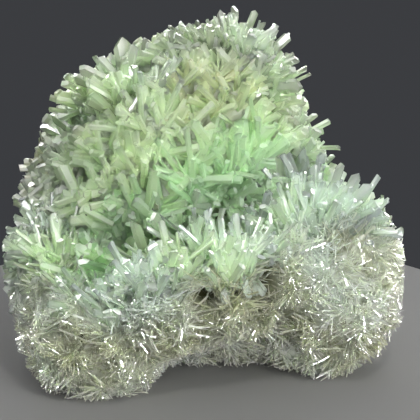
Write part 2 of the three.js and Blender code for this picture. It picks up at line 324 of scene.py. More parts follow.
def cube_ball(n):
    """Unit vectors over a ball cut as a cube of n by n faces, its quads, and each corner's place
    in the map."""
    t = np.tan(np.linspace(-1, 1, n + 1) * math.pi / 4)
    a, b = (x.ravel() for x in np.meshgrid(t, t, indexing="ij"))
    sides, quads, maps = [], [], []
    at = np.arange((n + 1) ** 2).reshape(n + 1, n + 1)
    quad = np.stack([at[:-1, :-1], at[1:, :-1], at[1:, 1:], at[:-1, 1:]], -1).reshape(-1, 4)
    for side in range(6):
        axis, sign = side % 3, 1 if side < 3 else -1
        ways = np.empty((len(a), 3))
        ways[:, axis] = sign
        ways[:, (axis + 1) % 3] = a
        ways[:, (axis + 2) % 3] = b
        sides.append(unit(ways))
        quads.append((quad if sign > 0 else quad[:, ::-1]) + side * len(a))
        i, j = np.divmod(np.arange(len(a)), n + 1)
        cell = np.stack([i / n, j / n], 1) * (1 - 2 * MAP_MARGIN) + MAP_MARGIN
        maps.append((cell + (side % 3, side // 3)) / (3, 2))
    return np.vstack(sides), np.vstack(quads), np.vstack(maps)


PLACE_CELLS = 80
OFF_FLOOR = 0.05


def places(count):
    """Points spread over the surface by area, by chance, with none on the base."""
    ways, quads, _ = cube_ball(PLACE_CELLS)
    at = skin(ways)
    corner = at[quads]
    size = np.linalg.norm(np.cross(corner[:, 2] - corner[:, 0], corner[:, 3] - corner[:, 1]), axis=1)
    size = size * (corner[:, :, 2].max(1) > OFF_FLOOR)
    corner = corner[rng.choice(len(quads), count, p=size / size.sum())]
    s, t = rng.random((2, count, 1))
    return (1 - s) * ((1 - t) * corner[:, 0] + t * corner[:, 3]) + s * (
        (1 - t) * corner[:, 1] + t * corner[:, 2]
    )


def apart(points, spacing):
    """The numbers of the points that keep their spacing from those kept before them. spacing may
    differ by point."""
    spacing = np.broadcast_to(spacing, len(points))
    kept = np.zeros((len(points), 3))
    wanted = []
    for i, point in enumerate(points):
        near = ((kept[: len(wanted)] - point) ** 2).sum(1) < spacing[i] ** 2
        if not near.any():
            kept[len(wanted)] = point
            wanted.append(i)
    return np.array(wanted)


def turned(axis, lean, around):
    """Directions that lean from axis by lean, around it by around."""
    up = np.where(np.abs(axis[:, 2:]) > 0.9, np.array([[1.0, 0, 0]]), np.array([[0, 0, 1.0]]))
    one = unit(np.cross(up, axis))
    two = np.cross(axis, one)
    flat = one * np.cos(around)[:, None] + two * np.sin(around)[:, None]
    return axis * np.cos(lean)[:, None] + flat * np.sin(lean)[:, None]


PIT_TRIES = 2500
PIT_SHARE = 0.7
PIT_FLOOR = 1.0
PIT_SPACING, PIT_STRAY = 4.6, 0.6
PIT_RADIUS, PIT_DEPTH = (0.8, 1.7), (1.4, 2.8)


def pits():
    """Small hollows by chance all over the needle mats."""
    tried = places(PIT_TRIES)
    tried = tried[(needle_share(tried) > PIT_SHARE) & (tried[:, 2] > PIT_FLOOR)]
    tried = tried[apart(tried, PIT_SPACING)]
    tried = tried + rng.normal(0, PIT_STRAY, tried.shape)
    radius = between(*PIT_RADIUS, rng.random((len(tried), 1)))
    return np.hstack([tried, radius, between(*PIT_DEPTH, rng.random((len(tried), 1)))])


hollows = np.vstack([hollows, pits()])


# ---- Crystals as arrays ----

BOX_MARGIN = 0.15
low_limit = np.array(cad_box[0]) / MM + MIDDLE + BOX_MARGIN
high_limit = np.array(cad_box[1]) / MM + MIDDLE - BOX_MARGIN


def kept_in(root, growth, length, half, most):
    """Lengths cut so that a tip stands at most so far out of the mass, and inside the solid's box."""
    for _ in range(2):
        over = clearance(root + growth * length[:, None]) - most
        length = length - np.maximum(over, 0)
    for axis in range(3):
        way, foot = growth[:, axis], root[:, axis]
        room = np.where(way > 0, high_limit[axis] - half - foot, foot - half - low_limit[axis])
        length = np.minimum(length, room / np.maximum(np.abs(way), 1e-6))
    return length


# A six-sided blade: its section round, and the faces of its 14 corners, which are the foot's
# ring, the top's ring and the two ends of the tip's ridge.
FLAT_SHARE = 0.55
SIX_ACROSS = [1, FLAT_SHARE, -FLAT_SHARE, -1, -FLAT_SHARE, FLAT_SHARE]
SIX = np.array([SIX_ACROSS, [0, 1, 1, 0, -1, -1]]).T
SIX_FACES = [
    [5, 4, 3, 2, 1, 0],
    [0, 1, 7, 6],
    [1, 2, 8, 12, 7],
    [2, 3, 9, 8],
    [3, 4, 10, 9],
    [4, 5, 11, 13, 10],
    [5, 0, 6, 11],
    [6, 7, 12, 13, 11],
    [12, 8, 9, 10, 13],
]
# A three-sided needle: the foot's ring and the slanted tip's ring.
THREE = np.array([[1, -0.6], [0, 1], [-1, -0.6]])
THREE_FACES = [[2, 1, 0], [0, 1, 4, 3], [1, 2, 5, 4], [2, 0, 3, 5], [3, 4, 5]]
SLANT = np.array([0, 1.2, 2.4])
# The same needle drawn out to a point.
POINT_FACES = [[2, 1, 0], [0, 1, 3], [1, 2, 3], [2, 0, 3]]
LEAST_SIDE = 0.3  # the least share of a blade's length that its sides reach


def corners(c, section, pointed):
    """The corners of every crystal, count by corners by 3."""
    half, thick = c["half"][:, None], c["thick"][:, None]
    x, y = section[:, 0] * half, section[:, 1] * thick
    length = c["length"][:, None]
    if pointed:
        none = 0 * length
        x, y = np.hstack([x, none]), np.hstack([y, none])
        z = np.hstack([none, none, none, length])
    elif len(section) == 6:
        ridge = c["ridge"][:, None] * half
        top = length - c["steep"][:, None] * np.abs(x - ridge)
        top = np.maximum(top, LEAST_SIDE * length)
        x = np.hstack([x * c["foot"][:, None], x, ridge, ridge])
        y = np.hstack([y * c["foot"][:, None], y, thick, -thick])
        z = np.hstack([0 * top, top, length, length])
    else:
        top = length - c["steep"][:, None] * half * SLANT
        x, y, z = np.hstack([x, x]), np.hstack([y, y]), np.hstack([0 * top, top])
    face = np.cross(c["growth"], c["side"])
    return (
        c["root"][:, None]
        + x[:, :, None] * c["side"][:, None]
        + y[:, :, None] * face[:, None]
        + z[:, :, None] * c["growth"][:, None]
    )


def number_faces(faces, points, count):
    """One crystal's faces repeated count times: loop vertices, loop starts, loop totals."""
    loops = np.concatenate(faces)
    totals = np.array([len(f) for f in faces])
    step = np.arange(count)[:, None]
    starts = np.concatenate([[0], np.cumsum(totals)[:-1]])
    return (
        (loops + step * points).ravel(),
        (starts + step * len(loops)).ravel(),
        np.tile(totals, count),
    )


def cell_map(faces, points):
    """Where each loop of a crystal lies in its own cell of the map: along the crystal by height."""
    rings = {4: 3, 6: 3, 14: 6}[points]
    cell = []
    for face in faces:
        n = len(face)
        for k, corner in enumerate(face):
            v = 0.15 if corner < rings else 0.8
            u = 0.2 + 0.6 * (k in (1, 2)) if n == 4 else 0.5 + 0.3 * math.cos(2 * math.pi * k / n)
            if n != 4:
                v += 0.1 * math.sin(2 * math.pi * k / n)
            cell.append((u, v))
    return np.array(cell)


def mesh_of(name, verts, loops, starts, totals, attributes, uv):
    """A flat-shaded mesh from arrays, moved from the lobes' frame to the part's, in metres."""
    me = bpy.data.meshes.new(name)
    me.vertices.add(len(verts))
    me.vertices.foreach_set("co", ((verts - MIDDLE) * MM).astype(np.float32).ravel())
    me.loops.add(len(loops))
    me.loops.foreach_set("vertex_index", loops.astype(np.int32))
    me.polygons.add(len(starts))
    me.polygons.foreach_set("loop_start", starts.astype(np.int32))
    me.polygons.foreach_set("loop_total", totals.astype(np.int32))
    me.update(calc_edges=True)
    for key, values in attributes.items():
        layer = me.attributes.new(key, "FLOAT", "POINT")
        layer.data.foreach_set("value", values.astype(np.float32))
    layer = me.uv_layers.new(name=MAP)
    layer.uv.foreach_set("vector", uv.astype(np.float32).ravel())
    me.shade_flat()
    return me


def show(me, material):
    """One piece of the cluster, in the scene."""
    obj = bpy.data.objects.new(me.name, me)
    bpy.context.scene.collection.objects.link(obj)
    me.materials.append(material)
    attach(obj, "root")
    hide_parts(NODE)


FULL_HOLLOW_SHADE = 2.0  # mm deep where a hollow has its full painted shade
LEAST_NEEDLE = 0.7


def zone_attributes(points):
    """What the materials read at each point."""
    return {
        "needles": needle_share(points),
        **{name: nearness(points, own) for name, own in spots.items()},
        # How deep a hollow is, which sets its painted shade.
        "hollow": np.clip(hollow(points) / FULL_HOLLOW_SHADE, 0, 1),
    }


def crystals_piece(name, c, faces, section, material):
    """One piece of crystals. Only needles take the needle mats' colours, with their painted olive
    shade.
    """
    c = clear_of_hollows(c)
    verts = corners(c, section, faces is POINT_FACES)
    count, each = verts.shape[:2]
    loops, starts, totals = number_faces(faces, each, count)
    rings = len(section)
    along = np.r_[np.zeros(rings), np.ones(each - rings)]
    zones = zone_attributes(c["place"])
    if section is SIX:
        zones["needles"] *= 0
        zones["olive_shade"] *= 0
    else:
        zones["needles"] = np.maximum(zones["needles"], LEAST_NEEDLE)
    per = {key: np.repeat(v, each) for key, v in zones.items()}
    per["along"] = np.tile(along, count)
    per["tint"] = np.repeat(c["tint"], each)
    cells = math.ceil(math.sqrt(count))
    cell = cell_map(faces, each)
    row, col = np.divmod(np.arange(count), cells)
    uv = (cell[None] + np.stack([col, row], 1)[:, None]) / cells
    flat = verts.reshape(-1, 3)
    flat[:, 2] = np.maximum(flat[:, 2], 0)
    me = mesh_of(name, flat, loops, starts, totals, per, uv.reshape(-1, 2))
    show(me, material)


def clear_of_hollows(c):
    """The crystals that don't cross a hollow."""
    kept = np.ones(len(c["half"]), bool)
    ways = outward(hollows[:, :3])
    for lift in WELL:
        for middle, radius in zip(hollows[:, :3] + lift * ways, hollows[:, 3]):
            gap = middle - c["root"]
            along = np.clip((gap * c["growth"]).sum(1), 0, c["length"])
            off = np.linalg.norm(gap - c["growth"] * along[:, None], axis=1)
            kept &= off > CLEAR_SHARE * radius + 0.5 * c["half"]
    return chosen(c, kept)


def gather(*sets):
    return {key: np.concatenate([s[key] for s in sets]) for key in sets[0]}


def chosen(c, mask):
    return {key: v[mask] for key, v in c.items()}


# ---- Materials ----


def node(tree, kind, **values):
    made = tree.nodes.new(kind)
    for key, value in values.items():
        setattr(made, key, value)
    return made


def attribute(tree, name):
    return node(tree, "ShaderNodeAttribute", attribute_name=name).outputs["Fac"]


def maths(tree, operation, a, b):
    made = node(tree, "ShaderNodeMath", operation=operation)
    tree.links.new(a, made.inputs[0])
    tree.links.new(b, made.inputs[1])
    return made.outputs[0]


def mix(tree, share, a, b, blend="MIX"):
    made = node(tree, "ShaderNodeMix", data_type="RGBA", blend_type=blend)
    for socket, value in ((made.inputs[0], share), (made.inputs[6], a), (made.inputs[7], b)):
        if isinstance(value, tuple):
            socket.default_value = (*value, 1)
        elif isinstance(value, (int, float)):
            socket.default_value = value
        else:
            tree.links.new(value, socket)
    return made.outputs[2]


NOISE_ROUGHNESS = 0.6


def noise(tree, scale, detail=3.0):
    """Noise over the whole piece. scale is to the metre."""
    made = node(tree, "ShaderNodeTexNoise")
    tree.links.new(node(tree, "ShaderNodeTexCoord").outputs["Object"], made.inputs["Vector"])
    made.inputs["Scale"].default_value = scale
    made.inputs["Detail"].default_value = detail
    made.inputs["Roughness"].default_value = NOISE_ROUGHNESS
    return made.outputs["Fac"]


STRIAE_ACROSS, STRIAE_ALONG = 14, 0.8


def striae(tree, cells):
    """Fine lines along each crystal. cells is about how many crystals the map has to a row."""
    stretch = node(tree, "ShaderNodeVectorMath", operation="MULTIPLY")
    tree.links.new(node(tree, "ShaderNodeUVMap", uv_map=MAP).outputs["UV"], stretch.inputs[0])
    stretch.inputs[1].default_value = (cells * STRIAE_ACROSS, cells * STRIAE_ALONG, 1)
    made = node(tree, "ShaderNodeTexNoise")
    tree.links.new(stretch.outputs[0], made.inputs["Vector"])
    made.inputs["Scale"].default_value = 1.0
    made.inputs["Detail"].default_value = 2.0
    return made.outputs["Fac"]


def ranged(tree, value, low, high, to_low, to_high):
    made = node(tree, "ShaderNodeMapRange")
    tree.links.new(value, made.inputs["Value"])
    made.inputs["From Min"].default_value = low
    made.inputs["From Max"].default_value = high
    made.inputs["To Min"].default_value = to_low
    made.inputs["To Max"].default_value = to_high
    return made.outputs["Result"]


COLOURS = {
    "milk": (0.87, 0.95, 0.71),  # pale yellow-green
    "leaf": (0.80, 0.95, 0.70),
    # painted shade of the valley, a darker deep green
    "valley_shade": (0.60, 0.87, 0.54),
    # painted shade of the crown's crevices, a darker ochre
    "ochre_shade": (0.66, 0.68, 0.40),
    # painted shade, a darker grey
    "grey_shade": (0.58, 0.62, 0.54),
    # mint-white: the ridge's own colour, and painted light on the fans
    "cool_and_lit": (0.87, 0.94, 0.93),
    "needle": (0.97, 0.98, 0.96),
    "cream": (0.90, 0.90, 0.80),
    # painted shade of the mats' recesses, a darker olive
    "olive_shade": (0.70, 0.70, 0.51),
}
FOOT_SHADE = (0.94, 0.99, 0.88)  # painted shade: what a crystal's colour is multiplied by at its foot, darker and greener


def colour_nodes(tree, dark, under, spread):
    """The crystal's colour: its zone, where painted shade or painted light is put, its own tint, and
    painted shade, darker and greener, towards its foot.
    """
    c = {k: tuple(x * dark for x in v) for k, v in COLOURS.items()}
    patch = ranged(tree, noise(tree, 160), 0.35, 0.65, 0, 1)
    colour = mix(tree, patch, c["leaf"], c["milk"])
    frost = ranged(tree, noise(tree, 230), 0.42, 0.60, 0, 1)
    frost = mix(tree, frost, c["needle"], c["cream"])
    colour = mix(tree, attribute(tree, "needles"), colour, frost)
    for zone in ("grey_shade", "cool_and_lit", "olive_shade", "valley_shade", "ochre_shade"):
        colour = mix(tree, attribute(tree, zone), colour, c[zone])
    if under:
        # Painted shade: the near-black under colour, put in the mats' olive zone, in random specks
        # between the needles, and in the hollows by their depth.
        shade_specks = ranged(tree, noise(tree, 700, 2.0), 0.56, 0.62, 0, 0.7)
        murk = ranged(tree, attribute(tree, "olive_shade"), 0, 1, 0.1, 0.8)
        share = maths(tree, "MAXIMUM", murk, shade_specks)
        share = maths(tree, "MULTIPLY", share, attribute(tree, "needles"))
        share = maths(tree, "MAXIMUM", share, attribute(tree, "hollow"))
        colour = mix(tree, share, colour, under)
    own = ranged(tree, attribute(tree, "tint"), 0, 1, *spread)
    tint = node(tree, "ShaderNodeCombineColor")
    for socket in tint.inputs[:3]:
        tree.links.new(own, socket)
    colour = mix(tree, 1.0, colour, tint.outputs[0], "MULTIPLY")
    # Painted shade at the foot, fading out along the crystal.
    foot = mix(tree, 1.0, colour, FOOT_SHADE, "MULTIPLY")
    return mix(tree, attribute(tree, "along"), foot, colour)


GYPSUM_IOR = 1.52
COAT_ROUGHNESS = 0.06
BUMP_HEIGHT = 0.05
GLOW_SHARES = (1.0, 1.2, 0.8)  # how far red, green and blue light spreads inside, to one another
GREEN_GLASS = {"Color": (0.92, 0.96, 0.95, 1), "Density": 150.0}
WHITE_GLASS = {"Color": (0.90, 0.93, 0.84, 1), "Density": 250.0}


def gypsum(
    name, transmission, rough, bump, subsurface, radius, coat=0.0, glare=0.5,
    absorb=None, dark=1.0, spread=(0.94, 1.03), under=None, cells=0,
):
    """A gypsum material. radius is how far light spreads inside it, in mm, dark scales its colours,
    spread is the range of the crystals' own tints, and under is painted shade: a near-black colour
    put in the crevices, the hollows and the specks of the mats."""
    material = bpy.data.materials.new(name)
    material.use_nodes = True
    tree = material.node_tree
    shader = tree.nodes["Principled BSDF"]
    tree.links.new(colour_nodes(tree, dark, under, spread), shader.inputs["Base Color"])
    shader.inputs["Transmission Weight"].default_value = transmission
    shader.inputs["IOR"].default_value = GYPSUM_IOR
    shader.inputs["Specular IOR Level"].default_value = glare
    shader.inputs["Coat Weight"].default_value = coat
    shader.inputs["Coat Roughness"].default_value = COAT_ROUGHNESS
    grain = noise(tree, 900, 2.0)
    tree.links.new(ranged(tree, grain, 0.3, 0.7, *rough), shader.inputs["Roughness"])
    bumps = node(tree, "ShaderNodeBump")
    bumps.inputs["Strength"].default_value = bump
    bumps.inputs["Distance"].default_value = BUMP_HEIGHT * MM
    lines = striae(tree, cells) if cells else noise(tree, 2500, 2.0)
    tree.links.new(lines, bumps.inputs["Height"])
    tree.links.new(bumps.outputs["Normal"], shader.inputs["Normal"])
    shader.subsurface_method = "BURLEY"
    shader.inputs["Subsurface Weight"].default_value = subsurface
    shader.inputs["Subsurface Radius"].default_value = GLOW_SHARES
    shader.inputs["Subsurface Scale"].default_value = radius * MM
    if absorb:
        volume = node(tree, "ShaderNodeVolumeAbsorption")
        for key, value in absorb.items():
            volume.inputs[key].default_value = value
        tree.links.new(volume.outputs[0], tree.nodes["Material Output"].inputs["Volume"])
    return material


# ---- The mass ----

MASS_CELLS = 64
MASS_SHRINK = 1.3
MASS_GRAIN = 0.45
VALLEY_SINK = 1.5
DEEPEST_SINK = 0.4  # as a share of the way to the heart
ON_FLOOR = 0.01


def make_mass(material):
    """The mass, one closed mesh whose edges between the cube's sides are joined."""
    ways, quads, maps = cube_ball(MASS_CELLS)
    keys = np.round(ways, 6)
    _, first, same = np.unique(keys, axis=0, return_index=True, return_inverse=True)
    ways = ways[first]
    at = skin(ways)
    base = at[:, 2] < ON_FLOOR
    rough = MASS_GRAIN * (2 * rng.random(len(at)) - 1)
    sink = MASS_SHRINK + VALLEY_SINK * nearness(at, spots["valley_shade"]) + hollow(at) + rough
    deepest = DEEPEST_SINK * np.linalg.norm(at - HEART, axis=1)
    sink = np.where(base, 0, np.minimum(sink, deepest))
    inner = at - ways * sink[:, None]
    inner[base, 2] = 0
    inner[:, 2] = np.maximum(inner[:, 2], 0)
    faces = same.ravel()[quads]
    attributes = zone_attributes(at)
    # With along at nought the whole mass takes the painted foot shade.
    attributes["along"] = np.zeros(len(at))
    attributes["tint"] = rng.random(len(at))
    starts, totals = np.arange(len(faces)) * 4, np.full(len(faces), 4)
    uv = maps[quads].reshape(-1, 2)
    show(mesh_of("mass", inner, faces.ravel(), starts, totals, attributes, uv), material)


# ---- Sprays of crystals ----

ROOT_STRAY = 0.35
FACE_STRAY = 0.05
THIN_FAVOUR = 1.3  # the power that makes narrow crystals likelier than wide ones
RIDGE_RANGE = (-0.9, 0.9)
FOOT_RANGE = (0.75, 1.0)
SHORTEST = 1.0
TIP_BURIED = 1.8  # a crystal whose tip lies deeper than this in the mass is left out


def grown(foci, growth, under, scale, most, reach, width, flatness, deep, steep, laid=None):
    """Crystals that grow from foci sunk by deep along under, with their tips at most so far out of
    the mass. laid is how far, in radians, a crystal's broad face strays from the surface's own
    way; None leaves it to chance."""
    n = len(foci)
    root = foci - under * (deep * scale)[:, None] + rng.normal(0, ROOT_STRAY, (n, 3))
    length = between(*reach, rng.random(n)) * scale
    half = between(*width, rng.random(n) ** THIN_FAVOUR) * scale / 2
    length = kept_in(root, growth, length, half, most)
    if laid is None:
        side = turned(growth, np.full(n, math.pi / 2), rng.random(n) * 2 * math.pi)
    else:
        flat = unit(np.cross(growth, under + rng.normal(0, FACE_STRAY, (n, 3))))
        roll = rng.normal(0, laid, n)[:, None]
        side = flat * np.cos(roll) + np.cross(growth, flat) * np.sin(roll)
    made = {
        "root": root,
        "growth": growth,
        "side": side,
        "half": half,
        "thick": half * between(*flatness, rng.random(n)),
        "length": length,
        "ridge": rng.uniform(*RIDGE_RANGE, n),
        "steep": between(*steep, rng.random(n)),
        "foot": rng.uniform(*FOOT_RANGE, n),
        "tint": rng.random(n),
        "place": foci,
    }
    tip = root + growth * length[:, None]
    above = (clearance(tip) > -TIP_BURIED) & (tip[:, 2] > OFF_FLOOR)
    return chosen(made, above & (length > SHORTEST))


SHEAF_SCALE = (0.75, 1.25)


def sheaves(foci, normal, count, lean, spread, most, **form):
    """Bundles of crystals that stay close to an axis of their own, which leans from the surface.
    form is what grown asks for."""
    n = len(foci)
    axis = turned(normal, between(*lean, rng.random(n)), rng.random(n) * 2 * math.pi)
    who = np.repeat(np.arange(n), count)
    off = np.arccos(1 - rng.random(n * count) * (1 - math.cos(spread)))
    growth = turned(axis[who], off, rng.random(n * count) * 2 * math.pi)
    scale = np.repeat(rng.uniform(*SHEAF_SCALE, n), count)
    most = np.repeat(between(*most, rng.random(n)), count)
    return grown(foci[who], growth, normal[who], scale, most, **form)


LEAN_STRAY = 0.2
MOST_STRAY = 0.4


def rosettes(foci, normal, middles, scale, radius, count, lean, stray, most, **form):
    """Crystals that lean away from the middle of their rosette, the more the further they are
    from it. form is what grown asks for."""
    who = np.repeat(np.arange(len(foci)), count)
    n = len(who)
    foci, normal, scale = foci[who], normal[who], scale[who]
    away = np.linalg.norm(foci[:, None] - middles[None], axis=2)
    own = away.argmin(1)
    far = np.clip(away[np.arange(n), own] / radius, 0, 1)
    radial = foci - middles[own]
    radial = radial - normal * (radial * normal).sum(1, keepdims=True)
    radial = unit(unit(radial) + rng.normal(0, stray, (n, 3)))
    angle = between(*lean, far) + rng.normal(0, LEAN_STRAY, n)
    growth = unit(normal * np.cos(angle)[:, None] + radial * np.sin(angle)[:, None])
    most = between(*most, rng.random(len(middles)))[own]
    most = most + rng.uniform(-MOST_STRAY, MOST_STRAY, n)
    return grown(foci, growth, normal, scale, most, **form)


# Fans of blades seen side on: the focus's pixel x and y, the lean of the first and last blade from
# upright, the shortest and longest blade in mm, the narrowest and widest, and how many.
FANS = {
    "ridge_1": (205, 264, -60, 25, 5.0, 10.0, 0.6, 1.3, 36),
    "ridge_2": (226, 274, -40, 40, 5.5, 11.5, 0.6, 1.4, 50),
    "ridge_3": (250, 262, -25, 60, 4.5, 10.0, 0.6, 1.3, 40),
    "ridge_4": (178, 280, -50, 45, 4.5, 9.5, 0.6, 1.5, 40),
    "ridge_5": (152, 290, -65, 35, 4.0, 8.5, 0.6, 1.6, 40),
    "ridge_6": (126, 312, -75, 50, 4.0, 8.5, 0.6, 1.7, 40),
    "ridge_7": (98, 298, -95, 30, 3.5, 7.5, 0.6, 1.7, 34),
    "right_1": (292, 228, -60, 20, 4.5, 9.5, 0.7, 1.5, 44),
    "right_2": (312, 226, -35, 40, 5.0, 11.0, 0.7, 1.6, 56),
    "right_3": (335, 222, -10, 70, 4.0, 9.0, 0.7, 1.6, 44),
    "right_4": (358, 226, 0, 85, 3.0, 6.0, 0.6, 1.3, 26),
    "shoulder_1": (102, 104, -85, -10, 4.5, 8.0, 0.9, 2.2, 30),
    "shoulder_2": (128, 104, -60, 30, 4.5, 9.0, 0.8, 2.2, 34),
    "shoulder_3": (156, 96, -35, 45, 4.0, 8.5, 0.7, 1.6, 34),
    "peak_1": (212, 52, -60, 30, 3.5, 7.0, 0.5, 1.2, 44),
    "peak_2": (238, 58, -35, 50, 4.5, 9.0, 0.6, 1.5, 44),
    "peak_3": (258, 76, 0, 90, 4.0, 7.5, 0.7, 1.6, 36),
    "peak_4": (256, 100, 35, 115, 4.0, 7.0, 0.9, 2.0, 30),
    "slope": (290, 150, 10, 90, 3.0, 7.0, 0.8, 1.8, 36),
    "left_1": (40, 256, -115, -20, 4.0, 8.0, 0.6, 1.6, 36),
    "left_2": (64, 266, -90, 40, 4.0, 8.5, 0.6, 1.7, 40),
    "left_3": (52, 232, -100, 20, 3.5, 7.5, 0.5, 1.4, 36),
}
FACE_FANS = {
    "face_1": (112, 150, -100, 60, 4.0, 8.0, 1.1, 2.2, 34),
    "face_2": (140, 172, -60, 80, 4.0, 8.5, 1.1, 2.2, 34),
    "face_3": (108, 196, -120, 20, 4.0, 8.0, 1.0, 2.1, 34),
    "face_4": (150, 208, -40, 110, 4.0, 8.0, 1.0, 2.1, 34),
    "face_5": (186, 168, -50, 50, 4.0, 8.0, 1.0, 2.0, 34),
    "face_6": (214, 158, -70, 40, 4.0, 8.0, 1.0, 2.2, 34),
    "face_7": (240, 168, -40, 60, 4.0, 8.5, 1.1, 2.3, 34),
    "face_8": (266, 142, -30, 100, 4.0, 8.0, 1.0, 2.0, 34),
    "face_9": (168, 134, -60, 60, 4.0, 8.0, 1.0, 2.1, 34),
    "face_10": (205, 188, -90, 90, 3.5, 7.0, 0.9, 1.8, 30),
    "face_11": (84, 168, -120, 0, 4.0, 8.0, 1.0, 2.0, 30),
    "face_12": (80, 216, -120, 30, 4.0, 8.0, 1.0, 2.0, 30),
    "face_13": (126, 226, -90, 90, 3.5, 7.0, 0.9, 1.9, 30),
    "face_14": (236, 126, -60, 60, 4.0, 8.0, 1.0, 2.0, 30),
    "face_15": (146, 122, -90, 40, 4.0, 8.0, 1.0, 2.1, 30),
    "face_16": (180, 100, -70, 40, 3.5, 7.0, 0.9, 1.9, 30),
    "face_17": (210, 104, -80, 80, 2.5, 5.0, 0.6, 1.4, 40),
    "face_18": (232, 102, -60, 90, 2.5, 5.5, 0.7, 1.5, 40),
    "face_19": (216, 78, -70, 70, 2.5, 5.0, 0.6, 1.4, 40),
    "face_20": (196, 128, -80, 50, 2.5, 5.0, 0.6, 1.5, 30),
    "face_21": (240, 84, -40, 80, 3.0, 5.5, 0.7, 1.5, 34),
    "face_22": (188, 76, -70, 60, 3.0, 5.5, 0.7, 1.5, 34),
}
# Sprays of long clear needles at the feet of the front fans, in the same columns.
SPRAYS = {
    "spray_1": (150, 304, -85, 80, 3.0, 7.0, 0.14, 0.34, 70),
    "spray_2": (118, 322, -90, 80, 3.0, 6.5, 0.14, 0.34, 60),
    "spray_3": (182, 296, -80, 80, 3.0, 7.0, 0.14, 0.34, 60),
    "spray_4": (92, 300, -100, 60, 3.0, 6.0, 0.14, 0.32, 60),
    "spray_5": (228, 286, -80, 80, 3.0, 6.0, 0.14, 0.32, 60),
    "spray_6": (286, 250, -80, 60, 3.0, 6.5, 0.14, 0.34, 70),
    "spray_7": (312, 240, -70, 80, 3.0, 7.0, 0.14, 0.34, 70),
    "spray_8": (340, 240, -60, 90, 3.0, 6.5, 0.14, 0.34, 70),
    "spray_9": (368, 236, -40, 90, 2.5, 5.0, 0.14, 0.30, 50),
    "spray_10": (320, 286, -120, 120, 3.0, 6.0, 0.14, 0.32, 70),
    "spray_11": (350, 310, -120, 120, 3.0, 6.0, 0.14, 0.32, 60),
    "spray_12": (60, 290, -110, 60, 3.0, 6.0, 0.14, 0.32, 60),
    "spray_13": (48, 240, -110, 40, 3.0, 6.5, 0.14, 0.34, 60),
    "spray_14": (140, 350, -120, 120, 2.5, 5.5, 0.14, 0.30, 50),
    "spray_15": (220, 340, -120, 120, 2.5, 5.5, 0.14, 0.30, 50),
    "spray_16": (284, 330, -120, 120, 2.5, 5.5, 0.14, 0.30, 50),
}
FAN_FORM = {"flatness": (0.3, 0.55), "deep": 1.0, "steep": (0, 0.6), "laid": 0.9}
FAN_STRAY = 12  # degrees
FAN_FOOT, FAN_SHIFT = 2.0, 1.3  # how far the feet spread, by their lean and by chance


def fans(table, forward, most):
    """The crystals of every fan. forward is the range of their leans towards the viewer in
    degrees, most that of how far they stand out of the mass."""
    sets = []
    for x, y, first, last, shortest, longest, narrow, wide, count in table.values():
        lean = np.radians(np.linspace(first, last, count) + rng.normal(0, FAN_STRAY, count))
        ahead = np.radians(between(*forward, rng.random(count)))
        flat = np.cos(lean)[:, None] * show_up + np.sin(lean)[:, None] * show_across
        growth = flat * np.cos(ahead)[:, None] + np.sin(ahead)[:, None] * viewer
        foot = np.repeat(at_pixel(x, y), count, 0)
        shift = np.sin(lean)[:, None] * show_across * FAN_FOOT
        foot = foot + (shift + rng.normal(0, FAN_SHIFT, (count, 3)))
        foot = foot - viewer * np.maximum(clearance(foot), 0)[:, None]
        under = np.broadcast_to(viewer, growth.shape)
        out = between(*most, rng.random(count))
        sizes = {"reach": (shortest, longest), "width": (narrow, wide)}
        sets.append(grown(foot, growth, under, np.ones(count), out, **sizes, **FAN_FORM))
    return gather(*sets)


